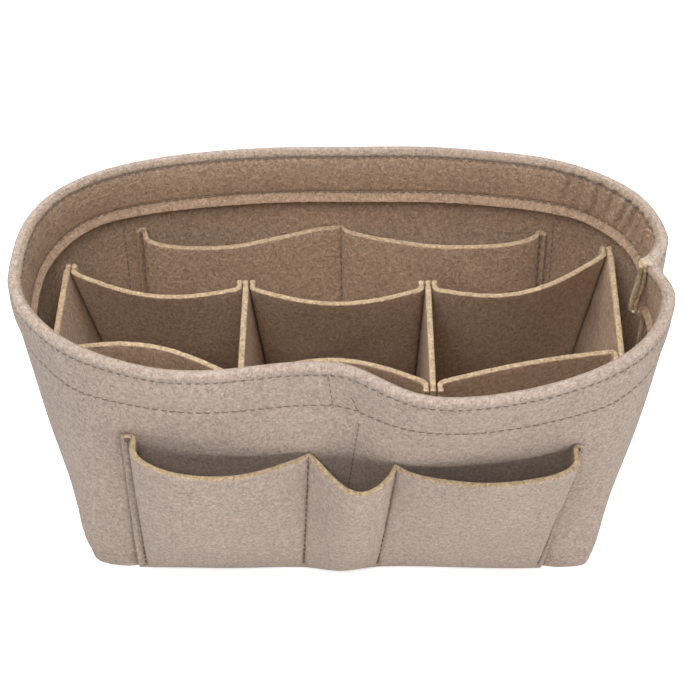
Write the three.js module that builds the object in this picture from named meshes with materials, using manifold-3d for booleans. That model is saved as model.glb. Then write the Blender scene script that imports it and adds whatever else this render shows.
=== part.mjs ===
// A felt purse organizer insert: a flared oval wall with a turned hem, a base, sewn-on pockets
// and a loose divider box of three compartments. Millimetres, +Z up.
// The origin is the middle of the base's underside, +X runs along the length and -Y is the front.
import * as THREE from "three";
import { mergeVertices } from "three/addons/utils/BufferGeometryUtils.js";
import Module from "manifold-3d";

const wasm = await Module();
wasm.setup();

// Felt and sewing
const FELT = 2.6; // thickness of every panel
const SEWN_GAP = 0.3; // clearance between panels that are sewn face to face

// Outer wall
const HEIGHT = 146;
const RIM_LENGTH = 274;
const RIM_DEPTH = 146;
const RIM_FRONT_DEPTH = 151; // the front half bows out more than the back
const RIM_BACK_SQUARENESS = 2.75; // superellipse exponents: 2 is an ellipse
const RIM_FRONT_LEFT_SQUARENESS = 2.26;
const RIM_FRONT_RIGHT_SQUARENESS = 2.55;
const BASE_LENGTH = 240;
const BASE_RIGHT_DRAW = 6; // how far the right end's foot is drawn in
const BASE_DEPTH = 97;
const BASE_FRONT_DEPTH = 102.5;
const BASE_LEFT_SQUARENESS = 6;
const BASE_RIGHT_SQUARENESS = 9;
const LEFT_BELLY = 4.5; // how far the left end bellies out below the rim
const RIGHT_BELLY = 5.9;
const BELLY_RISE = 0.75; // power of the height that sets how low the bellies sit
const BELLY_FOCUS = 4; // power of the cosine by which the bellies fade along the sides
const HEM = 25.5; // width of the edge that is turned in at the rim
const FOLD_FACETS = 4; // over the rim's rounded top
const WALL_FACET = 18; // the longest facet at the rim
const FACET_TURN = 0.13; // the most that a ring turns over one facet, in radians

// The front rim bellies out beside the middle and is drawn in at the middle
const SWELL = { x: 61, out: 9.25, leftReach: 45, rightReach: 73 };
const DENT = { x: -3.4, out: -15.6, leftReach: 31, rightReach: 15.4 };
const SWAY_EASE = 0.5; // share of the half depth over which the sway fades into the ends
const SWAY_FOOT = 40; // height from which the sway grows

// End seam, at the right
const SEAM_ANGLE = -0.058; // radians from +X, towards the front
const SEAM_ALLOWANCE = 7;
const SEAM_CLEAR = 1.5; // from the hem's inner corner to the wall's first facet
const PINCH_DEPTH = 6.9; // how far the stiff seam draws the rim in
const PINCH_FRONT_REACH = 8.5;
const PINCH_BACK_REACH = 6.3;
const PINCH_FADE = 5; // power of the height by which the pinch fades

// Base
const BASE_TURN_UP = 12; // edge of the base that is turned up inside the wall
const BASE_FOLD = 2; // radius of that fold
const BASE_FACET = 40; // the longest facet round the base
const CLIP_CLEARANCE = 1; // round the notch that lets the end seam through

// Pockets
const FLANGE = 3.5; // flat edge outside the last row of stitches
const MOUTH_CURVE = 0.5; // power of the sine that shapes a pocket's mouth and belly
const FOOT_SHARE = 0.06; // share of the belly that is left at the pocket's foot
const POCKET_LEVELS = 5; // facets up a pocket
const LOW_LEVELS = 2; // of those, the ones below the wall's sway
const FRONT_POCKET = {
  side: "front",
  outside: true,
  leftMargin: 28.5,
  rightMargin: 33,
  middleWidth: 33,
  lean: 0.065, // sideways slant of the stitch rows
  foot: 5.5,
  seamTops: [104.6, 98.1, 96.1, 103.6],
  dips: [2, 2, 2],
  lows: [0.44, 0.53, 0.57], // where along each mouth it is lowest
  bellies: [12, 15, 10.5],
  facets: [10, 8, 10],
};
const BACK_POCKET = {
  side: "back",
  outside: true,
  leftMargin: 21,
  rightMargin: 24.5,
  lean: 0,
  foot: 2,
  seamTops: [114, 105, 114],
  dips: [8, 8],
  lows: [0.5, 0.5],
  bellies: [9, 9],
  facets: [10, 10],
};
const BACK_INNER_POCKET = {
  side: "back",
  outside: false,
  leftMargin: 30,
  rightMargin: 31,
  lean: 0,
  foot: 18,
  seamTops: [112.5, 107, 109],
  dips: [4.6, 3],
  lows: [0.32, 0.58],
  curves: [[MOUTH_CURVE, 1.5], [MOUTH_CURVE, MOUTH_CURVE]], // the left mouth flattens out at the middle
  bellies: [10, 10],
  facets: [10, 10],
};
const FRONT_INNER_POCKET = {
  side: "front",
  outside: false,
  leftMargin: 38,
  rightMargin: 26,
  lean: 0,
  foot: 18,
  seamTops: [114, 114.5, 114],
  dips: [7, 7],
  lows: [0.5, 0.5],
  bellies: [9, 9],
  facets: [10, 10],
};

// Divider box: its places are clearances from the wall's inner face
const DIVIDER_HEIGHT = 113;
const DIVIDER_TAB = 6; // seam allowance that stands out at each junction
const END_SPACE_BASE = 18;
const LEFT_END_SPACE_TOP = 10.6;
const RIGHT_END_SPACE_TOP = 15.1;
const ROW_SPACE_BASE = 17;
const BACK_SPACES_TOP = [41.5, 52, 53, 36]; // at the four junctions, left to right
const FRONT_SPACES_TOP = [43, 27, 23, 40];
const BACK_BOWS = [9.5, 9, 11]; // how far each panel's top bows into its compartment
const FRONT_BOWS = [10, 11, 2];
const BOW_FACETS = 8; // along a bowed panel
const DIVIDER_LEVELS = 3; // facets up a panel
const COMPARTMENTS = ["left", "middle", "right"];

const FELT_COLOUR = 0xbfa78f;

const lerp = THREE.MathUtils.lerp;

// Point of a superellipse in the polar direction given by the angle.
function squircle(angle, length, depth, squareness) {
  const c = Math.cos(angle);
  const s = Math.sin(angle);
  const reach = (Math.abs(c) ** squareness + Math.abs(s) ** squareness) ** (-1 / squareness);
  return new THREE.Vector2((length / 2) * reach * c, (depth / 2) * reach * s);
}

// A bell curve with a reach of its own on each side.
function bell(x, { x: middle, out, leftReach, rightReach }) {
  const reach = x < middle ? leftReach : rightReach;
  return out * Math.exp(-0.5 * ((x - middle) / reach) ** 2);
}

// Plan point of the wall's outer face, at an angle round the oval and a height.
function wallPoint(angle, z) {
  const rise = z / HEIGHT;
  const front = Math.sin(angle) < 0;
  const left = Math.cos(angle) < 0;
  const frontSquareness = left ? RIM_FRONT_LEFT_SQUARENESS : RIM_FRONT_RIGHT_SQUARENESS;
  const foot = squircle(
    angle,
    left ? BASE_LENGTH : BASE_LENGTH - 2 * BASE_RIGHT_DRAW,
    front ? BASE_FRONT_DEPTH : BASE_DEPTH,
    left ? BASE_LEFT_SQUARENESS : BASE_RIGHT_SQUARENESS,
  );
  const rim = front
    ? squircle(angle, RIM_LENGTH, RIM_FRONT_DEPTH, frontSquareness)
    : squircle(angle, RIM_LENGTH, RIM_DEPTH, RIM_BACK_SQUARENESS);
  let sway = 0;
  if (front) {
    sway = bell(rim.x, SWELL) + bell(rim.x, DENT);
    sway *= THREE.MathUtils.smoothstep(-rim.y / (RIM_FRONT_DEPTH / 2), 0, SWAY_EASE);
  }
  const point = foot.lerp(rim, rise);
  point.y -= sway * Math.max(0, (z - SWAY_FOOT) / (HEIGHT - SWAY_FOOT));
  const belly = Math.abs(Math.cos(angle)) ** BELLY_FOCUS * Math.sin(Math.PI * rise ** BELLY_RISE);
  point.x += left ? -LEFT_BELLY * belly : RIGHT_BELLY * belly;
  if (point.x > 0) {
    const fromSeam = point.y - (RIM_DEPTH / 2) * SEAM_ANGLE;
    const reach = fromSeam < 0 ? PINCH_FRONT_REACH : PINCH_BACK_REACH;
    point.x -= PINCH_DEPTH * rise ** PINCH_FADE * Math.exp(-0.5 * (fromSeam / reach) ** 2);
  }
  return point;
}

// The angles of a ring's upright facet lines, clockwise from the seam and clear of its hem.
// They are spaced by length and by how sharply the wall turns at the heights given, the longest last.
function spaceFacets(heights, facetLength) {
  const clear = (2 * FELT + SEAM_CLEAR) / (RIM_DEPTH / 2);
  const samples = 2000;
  const step = (2 * clear - 2 * Math.PI) / samples;
  const angleOf = (i) => SEAM_ANGLE - clear + step * i;
  const heading = (i, z) => wallPoint(angleOf(i + 1), z).sub(wallPoint(angleOf(i), z));
  const bend = (i, z) => Math.abs(heading(i - 1, z).cross(heading(i, z))) / heading(i, z).lengthSq();
  const marks = [0];
  for (let i = 0; i < samples; i++) {
    const turn = Math.max(...heights.map((z) => bend(i, z)));
    marks.push(marks[i] + heading(i, heights.at(-1)).length() / facetLength + turn / FACET_TURN);
  }
  const facets = Math.round(marks[samples]);
  return Array.from({ length: facets + 1 }, (_, k) => {
    const mark = (marks[samples] * k) / facets;
    return angleOf(k === facets ? samples : marks.findIndex((m) => m >= mark));
  });
}
const WALL_ANGLES = spaceFacets([0, HEIGHT], WALL_FACET);
const BASE_ANGLES = spaceFacets([0], BASE_FACET);

// The faceted outer face on one long side, where it has the given x: its plan point and outward normal.
function wallAt(side, x, z) {
  const sign = side === "front" ? -1 : 1;
  const line = WALL_ANGLES.map((angle) => wallPoint(angle, z));
  const steps = mitres(line);
  const within = (p, q) => p.y * sign > 0 && q.y * sign > 0 && (p.x - x) * (q.x - x) <= 0;
  const i = line.findIndex((p, k) => k > 0 && within(line[k - 1], p));
  const share = (x - line[i - 1].x) / (line[i].x - line[i - 1].x);
  const normal = steps[i - 1].clone().lerp(steps[i], share).normalize().negate();
  return { point: line[i - 1].clone().lerp(line[i], share), normal };
}

// Each point's sideways step for a unit offset to the right of a path, mitred at its corners.
function mitres(path, closed = false) {
  const last = path.length - 1;
  return path.map((point, i) => {
    const before = point.clone().sub(path.at(i - 1));
    const after = path[i === last ? 0 : i + 1].clone().sub(point);
    const a = (i === 0 && !closed ? after : before).normalize();
    const b = (i === last && !closed ? before : after).normalize();
    const middle = new THREE.Vector2(a.y + b.y, -a.x - b.x).normalize();
    return middle.divideScalar(middle.dot(new THREE.Vector2(a.y, -a.x)));
  });
}

// A closed geometry from points and triangles, turned so that its faces point out.
function closedGeometry(points, triangles) {
  let volume = 0;
  for (const [a, b, c] of triangles) {
    volume += points[a].dot(new THREE.Vector3().crossVectors(points[b], points[c]));
  }
  const faces = volume < 0 ? triangles.map(([a, b, c]) => [a, c, b]) : triangles;
  const geometry = new THREE.BufferGeometry().setFromPoints(points);
  geometry.setIndex(faces.flat());
  geometry.computeVertexNormals();
  return geometry;
}

// Triangles that fill a flat outline, wound the way the outline is.
function fill(outline) {
  const forwards = THREE.ShapeUtils.area(outline) > 0;
  return THREE.ShapeUtils.triangulateShape(outline, []).map(([a, b, c]) => {
    const same = THREE.ShapeUtils.area([outline[a], outline[b], outline[c]]) > 0 === forwards;
    return same ? [a, b, c] : [a, c, b];
  });
}

// Sweeps a closed section along a run of columns: place(column, sectionPoint) gives each 3-D point.
function swept(columns, section, place) {
  const count = section.length;
  const points = [];
  const triangles = [];
  for (let i = 0; i < columns; i++) {
    for (const spot of section) points.push(place(i, spot));
  }
  for (let i = 0; i + 1 < columns; i++) {
    for (let k = 0; k < count; k++) {
      const a = i * count + k;
      const b = i * count + ((k + 1) % count);
      triangles.push([a, b, b + count], [a, b + count, a + count]);
    }
  }
  const last = (columns - 1) * count;
  for (const [a, b, c] of fill(section)) {
    triangles.push([a, c, b], [a + last, b + last, c + last]);
  }
  return closedGeometry(points, triangles);
}

// Joins closed rows of points, and fills the first and the last.
function capped(rows) {
  const count = rows[0].length;
  const points = rows.flat();
  const triangles = [];
  for (let r = 0; r + 1 < rows.length; r++) {
    for (let i = 0; i < count; i++) {
      const a = r * count + i;
      const b = r * count + ((i + 1) % count);
      triangles.push([a, b, b + count], [a, b + count, a + count]);
    }
  }
  const flat = (row) => fill(row.map((p) => new THREE.Vector2(p.x, p.y)));
  const last = (rows.length - 1) * count;
  for (const [a, b, c] of flat(rows[0])) triangles.push([a, c, b]);
  for (const [a, b, c] of flat(rows.at(-1))) triangles.push([a + last, b + last, c + last]);
  return closedGeometry(points, triangles);
}

function solid(geometry) {
  const bare = mergeVertices(geometry.clone().deleteAttribute("normal").deleteAttribute("uv"));
  const vertProperties = bare.attributes.position.array;
  const triVerts = new Uint32Array(bare.index.array);
  return new wasm.Manifold(new wasm.Mesh({ numProp: 3, vertProperties, triVerts }));
}

function cut(geometry, tool) {
  const { vertProperties, triVerts } = solid(geometry).subtract(solid(tool)).getMesh();
  const result = new THREE.BufferGeometry();
  result.setAttribute("position", new THREE.BufferAttribute(vertProperties, 3));
  result.setIndex(new THREE.BufferAttribute(triVerts, 1));
  result.computeVertexNormals();
  return result;
}

// The section of a flat sheet: up one face and down the other, as [offset, share of the height].
function sheetSection(levels) {
  const shares = Array.from({ length: levels + 1 }, (_, k) => k / levels);
  const face = (offset) => shares.map((share) => new THREE.Vector2(offset, share));
  return [...face(0), ...face(FELT).reverse()];
}

// Outer wall: a hemmed section swept round the oval, with both ends turned in at the seam.
function outerWall() {
  const path = (z) => {
    const seam = wallPoint(SEAM_ANGLE, z);
    const half = SEWN_GAP / 2;
    const end = (inwards, side) => new THREE.Vector2(seam.x - inwards, seam.y + side * half);
    const round = WALL_ANGLES.map((angle) => wallPoint(angle, z));
    return [end(SEAM_ALLOWANCE, -1), end(0, -1), ...round, end(0, 1), end(SEAM_ALLOWANCE, 1)];
  };
  const hemFoot = HEIGHT - HEM;
  const levels = [0, BASE_TURN_UP, SWAY_FOOT, (SWAY_FOOT + hemFoot) / 2];
  const outer = [...levels, hemFoot, HEIGHT - HEM / 2, HEIGHT - FELT];
  const inner = [hemFoot, ...levels.toReversed()];
  const fold = Array.from({ length: FOLD_FACETS - 1 }, (_, k) => {
    const bend = Math.PI * (1 - (k + 1) / FOLD_FACETS);
    return new THREE.Vector2(FELT + FELT * Math.cos(bend), HEIGHT - FELT + FELT * Math.sin(bend));
  });
  const section = [
    ...outer.map((z) => new THREE.Vector2(0, z)),
    ...fold,
    new THREE.Vector2(2 * FELT, HEIGHT - FELT),
    new THREE.Vector2(2 * FELT, hemFoot),
    ...inner.map((z) => new THREE.Vector2(FELT, z)),
  ];
  const rings = new Map();
  for (const { y: z } of section) {
    const line = path(z);
    rings.set(z, { line, steps: mitres(line) });
  }
  return swept(WALL_ANGLES.length + 4, section, (i, { x: offset, y: z }) => {
    const { line, steps } = rings.get(z);
    const place = line[i].clone().addScaledVector(steps[i], offset);
    return new THREE.Vector3(place.x, place.y, z);
  });
}

// Base: a floor whose edge is folded up inside the wall, clipped where the end seam stands.
function basePanel() {
  const ring = (inset, z) => {
    const line = BASE_ANGLES.map((angle) => wallPoint(angle, z));
    const steps = mitres(line, true);
    return line.map((point, i) => {
      const place = point.addScaledVector(steps[i], inset);
      return new THREE.Vector3(place.x, place.y, z);
    });
  };
  const outside = FELT + SEWN_GAP;
  const inside = outside + FELT;
  const bend = BASE_FOLD * (1 - Math.SQRT1_2);
  const tray = capped([
    ring(outside + BASE_FOLD, 0),
    ring(outside + bend, bend),
    ring(outside, BASE_FOLD),
    ring(outside, BASE_TURN_UP),
    ring(inside, BASE_TURN_UP),
    ring(inside, FELT),
  ]);
  const seam = wallPoint(SEAM_ANGLE, 0);
  const reach = SEAM_ALLOWANCE + CLIP_CLEARANCE;
  const width = 2 * FELT + SEWN_GAP + 2 * CLIP_CLEARANCE;
  const notch = new THREE.BoxGeometry(2 * reach, width, 4 * BASE_TURN_UP);
  notch.translate(seam.x, seam.y, BASE_TURN_UP);
  return cut(tray, notch);
}

// A pocket panel: it lies flat on the wall along each row of stitches and bellies out between them.
function pocket(design) {
  const left = -BASE_LENGTH / 2 + design.leftMargin;
  const right = BASE_LENGTH / 2 - design.rightMargin;
  const rows = [left, right];
  if (design.middleWidth) {
    const side = (right - left - design.middleWidth) / 2;
    rows.splice(1, 0, left + side, right - side);
  } else {
    rows.splice(1, 0, (left + right) / 2);
  }
  const columns = [{ x: left - FLANGE, top: design.seamTops[0], belly: 0 }];
  design.facets.forEach((facets, k) => {
    for (let j = k === 0 ? 0 : 1; j <= facets; j++) {
      const across = j / facets;
      const skewed = across ** (Math.log(0.5) / Math.log(design.lows[k]));
      const [first, last] = design.curves?.[k] ?? [MOUTH_CURVE, MOUTH_CURVE];
      const curve = j % facets === 0 ? 0 : Math.sin(Math.PI * skewed) ** lerp(first, last, across);
      columns.push({
        x: lerp(rows[k], rows[k + 1], across),
        top: lerp(design.seamTops[k], design.seamTops[k + 1], across) - design.dips[k] * curve,
        belly: design.bellies[k] * curve,
      });
    }
  });
  columns.push({ x: right + FLANGE, top: design.seamTops.at(-1), belly: 0 });
  const lowShare = LOW_LEVELS / POCKET_LEVELS;
  return swept(columns.length, sheetSection(POCKET_LEVELS), (i, { x: offset, y: share }) => {
    const { x, top, belly } = columns[i];
    const low = share < lowShare;
    const z = low
      ? lerp(design.foot, SWAY_FOOT, share / lowShare)
      : lerp(SWAY_FOOT, top, (share - lowShare) / (1 - lowShare));
    const { point, normal } = wallAt(design.side, x + design.lean * z, z);
    const fullness = lerp(FOOT_SHARE, 1, Math.sin((Math.PI / 2) * share));
    const away = SEWN_GAP + belly * fullness + offset;
    const place = point.addScaledVector(normal, design.outside ? away : -FELT - away);
    return new THREE.Vector3(place.x, place.y, z);
  });
}

// The divider box's junctions at its foot or at its top: four along the front and four along the back.
function junctions(atTop) {
  const z = atTop ? FELT + DIVIDER_HEIGHT : 0;
  const halfLength = lerp(BASE_LENGTH, RIM_LENGTH, z / HEIGHT) / 2 - FELT;
  const halfDepth = lerp(BASE_DEPTH, RIM_DEPTH, z / HEIGHT) / 2 - FELT;
  const left = -halfLength + (atTop ? LEFT_END_SPACE_TOP : END_SPACE_BASE);
  const right = halfLength - (atTop ? RIGHT_END_SPACE_TOP : END_SPACE_BASE);
  return BACK_SPACES_TOP.map((backSpaceTop, k) => {
    const x = lerp(left, right, k / COMPARTMENTS.length);
    const front = -halfDepth + (atTop ? FRONT_SPACES_TOP[k] : ROW_SPACE_BASE);
    const back = halfDepth - (atTop ? backSpaceTop : ROW_SPACE_BASE);
    return { front: new THREE.Vector2(x, front), back: new THREE.Vector2(x, back) };
  });
}

// A divider panel: a sheet that stands on the base between a path at its foot and one at its top.
function divider(footPath, topPath) {
  const floor = FELT + SEWN_GAP;
  const crest = FELT + DIVIDER_HEIGHT;
  const paths = new Map();
  const pathAt = (share) => {
    if (!paths.has(share)) {
      const line = footPath.map((point, i) => point.clone().lerp(topPath[i], share));
      paths.set(share, { line, steps: mitres(line) });
    }
    return paths.get(share);
  };
  return swept(footPath.length, sheetSection(DIVIDER_LEVELS), (i, { x: offset, y: share }) => {
    const { line, steps } = pathAt(share);
    const place = line[i].clone().addScaledVector(steps[i], offset - FELT / 2);
    return new THREE.Vector3(place.x, place.y, lerp(floor, crest, share));
  });
}

// A panel that runs from front to back, with both ends standing out as tabs.
function crossPath({ front, back }) {
  const tab = new THREE.Vector2(0, DIVIDER_TAB);
  return [front.clone().sub(tab), front.clone(), back.clone(), back.clone().add(tab)];
}

// A panel along the front or the back of a compartment, its ends turned out beside the cross panels.
function rowPath(from, to, outwards, bow) {
  const aside = FELT + SEWN_GAP;
  const tab = new THREE.Vector2(0, outwards * DIVIDER_TAB);
  const start = new THREE.Vector2(from.x + aside, from.y);
  const end = new THREE.Vector2(to.x - aside, to.y);
  const path = [start.clone().add(tab)];
  for (let j = 0; j <= BOW_FACETS; j++) {
    const across = j / BOW_FACETS;
    const point = start.clone().lerp(end, across);
    point.y -= outwards * bow * Math.sin(Math.PI * across);
    path.push(point);
  }
  path.push(end.clone().add(tab));
  return path;
}

const organizer = new THREE.Group();

function addPanel(name, geometry) {
  const material = new THREE.MeshStandardMaterial({ color: FELT_COLOUR, roughness: 0.95, metalness: 0 });
  const mesh = new THREE.Mesh(geometry, material);
  mesh.name = name;
  organizer.add(mesh);
}

addPanel("outer_wall", outerWall());
addPanel("base_panel", basePanel());
addPanel("front_outer_pocket", pocket(FRONT_POCKET));
addPanel("back_outer_pocket", pocket(BACK_POCKET));
addPanel("front_inner_pocket", pocket(FRONT_INNER_POCKET));
addPanel("back_inner_pocket", pocket(BACK_INNER_POCKET));

const feet = junctions(false);
const tops = junctions(true);
COMPARTMENTS.forEach((name, k) => {
  const row = (side, outwards, bow) =>
    divider(
      rowPath(feet[k][side], feet[k + 1][side], outwards, 0),
      rowPath(tops[k][side], tops[k + 1][side], outwards, bow),
    );
  addPanel(`divider_back_${name}`, row("back", 1, BACK_BOWS[k]));
  addPanel(`divider_front_${name}`, row("front", -1, FRONT_BOWS[k]));
});
["left_end", "cross_left", "cross_right", "right_end"].forEach((name, k) => {
  addPanel(`divider_${name}`, divider(crossPath(feet[k]), crossPath(tops[k])));
});

export default organizer;
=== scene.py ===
"""Looks of a felt purse organizer insert: every felt panel as a soft sheet with raw edges, real thread,
procedural felt, a plain white studio and the camera. The shapes are worked out in millimetres."""

import math

import bpy
import numpy as np
from mathutils import Matrix


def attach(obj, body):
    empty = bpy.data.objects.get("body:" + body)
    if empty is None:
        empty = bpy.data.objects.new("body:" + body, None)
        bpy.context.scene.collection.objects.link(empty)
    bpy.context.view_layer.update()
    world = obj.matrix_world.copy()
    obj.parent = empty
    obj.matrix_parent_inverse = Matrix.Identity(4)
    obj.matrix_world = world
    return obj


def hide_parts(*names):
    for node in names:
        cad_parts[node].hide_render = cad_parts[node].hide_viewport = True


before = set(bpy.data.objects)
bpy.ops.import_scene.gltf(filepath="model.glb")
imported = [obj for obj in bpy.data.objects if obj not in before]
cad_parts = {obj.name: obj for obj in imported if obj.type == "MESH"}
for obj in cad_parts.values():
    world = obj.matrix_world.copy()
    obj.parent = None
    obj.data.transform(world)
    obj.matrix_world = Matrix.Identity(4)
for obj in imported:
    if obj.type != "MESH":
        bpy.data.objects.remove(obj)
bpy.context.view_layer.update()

MM = 0.001

# Felt and sewing
FELT = 2.6
SEWN_GAP = 0.3
EDGE_ROUND = 0.75  # how far from a raw edge its rounding starts
EDGE_SHAPE = 2.6  # superellipse exponent of a raw edge: 2 is round
EDGE_STEPS = EDGE_ROUND * np.array([0, 0.04, 0.16, 0.36, 0.64, 1.0])
EDGE_FACES = 3  # rows of faces along a raw edge that show the cut
WITHIN_EDGES = slice(len(EDGE_STEPS), -len(EDGE_STEPS))

# Outer wall. Pairs are left and right
HEIGHT = 146.0
RIM_LENGTH = 274.0
RIM_DEPTH = 146.0
RIM_FRONT_DEPTH = 151.0
RIM_BACK_SQUARENESS = 2.75
RIM_FRONT_SQUARENESS = (2.26, 2.55)
BASE_LENGTH = 240.0
BASE_DRAWS = (1.6, 8.4)  # how far the ends are drawn in
BASE_DEPTH = 97.0
BASE_FRONT_DEPTH = 97.8
BASE_SQUARENESS = (13.0, 26.0)
FOOT_SWELLS = ((-52.0, 0.6, 20.0), (-2.0, 2.4, 12.0))  # of the front's foot: x, out, reach
FOOT_SWELL_END = 0.3  # share of the height at which they have gone
FOOT_PRESS = 1.0  # how far the front pocket is pressed into the wall at its foot
FOOT_PRESS_SPAN = (-101.0, -93.0, 89.0, 97.0)
FOOT_PRESS_END = 0.12
FOOT_RIGHT_OUT = 1.6  # how far the right half of the front's foot stands further out
FOOT_RIGHT_SPAN = (20.0, 80.0)
FOOT_TUCKS = (2.4, 0.8)  # how much further the ends are drawn in at the very foot
FOOT_TUCK_END = 0.12
END_BELLIES = (-4.5, 6.4)
BELLY_RISE = 0.75
BELLY_FOCUS = (4, 2)
SWELL = (61.0, 9.25, 45.0, 73.0)  # x, out, reach to the left, reach to the right
DENT = (-3.4, -15.6, 31.0, 15.4)
SWAY_EASE = 0.5
SWAY_FOOT = 40.0
SWAY_SOFT = 0.12  # the sway sets in gently
SEAM_ANGLE = -0.058
PINCH_DEPTH = 6.9
PINCH_REACHES = (8.5, 6.3)  # to the front and to the back
PINCH_FADE = 5

# Hem and its two rows of stitches, as heights where the wall crosses y = 0
HEM_FOOT = 119.6
LOW_ROW = 124.0
TOP_ROW = 142.2
BASE_ROW = 9.0
LIP_FLARE = 1.7  # how far the hem's raw edge stands away from the wall
HEM_GAP = 0.12  # between the hem and the wall behind it
ROW_TILT = ((90, 0), (HEM_FOOT, 1.7), (LOW_ROW, 1.7), (TOP_ROW, 0.7), (HEIGHT, 0))  # rise at the back

# Two short rows of stitches in the front hem: side, x at height 0, lean, lowest and highest level
HEM_TACKS = (("front", 6.94, -0.0844, LOW_ROW, TOP_ROW), ("front", 37.5, -0.2527, LOW_ROW - 0.5, TOP_ROW - 9))

# Relief of the wall. A groove is its depth and its half width
WAVES = 0.45  # the felt's slow unevenness
WAVE_SIZE = 46.0
WAVE_SPAN = (8.0, 40.0)  # heights between which it sets in
WALL_PUCKER = 0.28
TOP_GROOVE = (0.6, 1.0)
TOP_GROOVE_INSIDE = (0.35, 1.0)
LOW_GROOVE = (0.65, 0.9)
BASE_GROOVE = (0.15, 1.0)
TACK_GROOVE = (0.7, 0.9)
TACK_FADE = 1.5
TACK_LEVEL = 132.0  # at which the wall's close columns are put there
FLANGE_GROOVE = (0.7, 0.8)  # in the wall, beside the front pocket
FLANGE_CLEAR = 0.3
SEAM_GROOVE = (0.95, 0.8)
SEAM_SHOULDER = (-0.35, 1.6)
SEAM_SHOULDER_PLACE = 2.6
HEM_PUFF = 0.45
RIM_ROLL = 0.3
RIM_ROLL_RISE = 2.5
WRINKLES = (  # arc from the seam towards the back, depth, half width, slant
    (17, 0.5, 1.4, 0.0), (24, 0.8, 1.6, -0.05), (30, 1.15, 1.3, -0.1), (36.5, 1.0, 1.2, -0.15),
    (43, 1.5, 1.4, -0.25), (49.5, 1.2, 1.2, -0.3), (56.5, 0.8, 1.5, -0.2), (63.5, 1.2, 1.3, -0.15),
    (71, 0.6, 1.8, -0.1), (79.5, 0.9, 1.4, -0.25), (91, 0.4, 2.0, -0.1))
WRINKLE_BULGE = 0.45  # beside each, as a share of its depth
WRINKLE_THROUGH = 0.35  # share of the depth on the faces other than the hem
LOW_CREASES = (  # low on the outside, left of the front pocket: x, z, slope, depth, width, reach
    (-108, 24, -0.35, 1.3, 1.8, 10), (-106, 14.5, -0.1, 1.0, 1.5, 11), (-113, 37, -0.6, 0.8, 2.2, 8))

# Thread
PITCH = 3.6
STITCH = 2.9
TOP_STITCH = 2.3
THREAD = 0.3  # radius
BASE_THREAD = 0.18
SEAM_PITCH = 4.4
SEAM_STITCH = 3.95
SEAM_THREAD = 0.55
SEAM_SHIFT = 0.28  # the outer rows lie this share of the flange outside the pocket

# Base
BASE_TURN_UP = 12.0
BASE_FOLD = 2.0
BASE_CORNER = 1.2  # rounding of the inner corner

# End seam
SEAM_END_HALF = 0.85  # half the thickness of the pressed felt there
SEAM_END_LEAN = 3.8  # how much further from the hem its foot stands than its top
SEAM_END_START = 1.8  # depth in the wall at which the turned-in ends begin

# Pockets. rows: the seams' x at height 0, lows: share across at which a mouth is lowest, curves: its two ends
CORNER_DROP = 0.9
POCKET_GRID = 100.0  # nominal height of a pocket's grid
POCKET_FOOT_PRESS = 0.9
POCKET_GROOVE = (1.25, 1.1)
POCKET_PUCKER = 0.25
POCKET_NORMAL_REACH = 30.0
POCKET_SLACK = 0.05
PLAIN_PAIR = dict(
    leans=[0, 0, 0], flanges=(3.5, 3.5), lows=[0.5, 0.5], curves=[(0.5, 0.5), (0.5, 0.5)], bellies=[9, 9])
POCKETS = {
    "front_outer_pocket": dict(
        side="front", outside=True, rows=[-88.4, -18.75, 14.25, 85.6], leans=[0.036, 0.055, 0.082, 0.0865],
        flanges=(5.0, 3.2), foot=0.4, tops=[103.9, 92.3, 94.9, 101.7], dips=[4.8, 4.6, 3.6],
        lows=[0.35, 0.58, 0.76], curves=[(0.38, 0.85), (0.9, 0.72), (0.25, 0.22)], bellies=[12, 15.5, 10.5]),
    "back_outer_pocket": dict(
        PLAIN_PAIR, side="back", outside=True, rows=[-99.0, -1.75, 95.5], foot=2, tops=[114, 105, 114],
        dips=[8, 8]),
    "back_inner_pocket": dict(
        PLAIN_PAIR, side="back", outside=False, rows=[-90.0, -0.5, 89.0], foot=18, tops=[112.5, 107, 109],
        dips=[4.6, 3], lows=[0.32, 0.58], curves=[(0.5, 1.5), (0.5, 0.5)], bellies=[10, 10]),
    "front_inner_pocket": dict(
        PLAIN_PAIR, side="front", outside=False, rows=[-82.0, 6.0, 94.0], foot=18, tops=[114, 114.5, 114],
        dips=[7, 7]),
}
BELLY_LENGTH = 1.2  # extra felt that a belly takes up, as a share of its depth
FLANGE_COLUMNS = (-92.0, 93.5)  # x of the wall's close columns at the front pocket's flanges
FLANGE_LEVEL = 50.0
THROUGH_FOOT = 14.0  # above a pocket's foot, where its stitches come through the wall
CENTRE_ROW = (-4.7, 0.1, 60.0, 119.5)  # seen outside the front: x at height 0, lean, lowest, highest

# Divider box
DIVIDER_HEIGHT = 113.0
DIVIDER_TAB = 5.2
DIVIDER_GROOVE = (0.4, 0.9)
DIVIDER_PUCKER = 0.3
DIVIDER_SAG = 0.7
SPACES_BASE = dict(ends=(18.0, 18.0), front=17.0, back=17.0, shifts=0)  # between the box and the case
SPACES_TOP = dict(
    ends=(10.6, 15.1), front=np.array([43, 27, 23, 40]), back=np.array([41.0, 52, 53, 32]),
    shifts=np.array([0, 0, 0, 2.0]))  # shifts: of the back corners to the right
BACK_BOWS = (9.5, 9, 13)
FRONT_BOWS = (10, 11, 2)


def smoothstep(x, low, high):
    t = np.clip((x - low) / (high - low), 0, 1)
    return t * t * (3 - 2 * t)


def window(x, start, full, fading, end):
    """Rises from 0 at start to 1 at full, and falls from 1 at fading to 0 at end."""
    return smoothstep(x, start, full) * smoothstep(x, end, fading)


def bump(x, width):
    return np.exp(-((x / width) ** 2))


def groove(x, shape):
    depth, width = shape
    return depth * bump(x, width)


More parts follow.
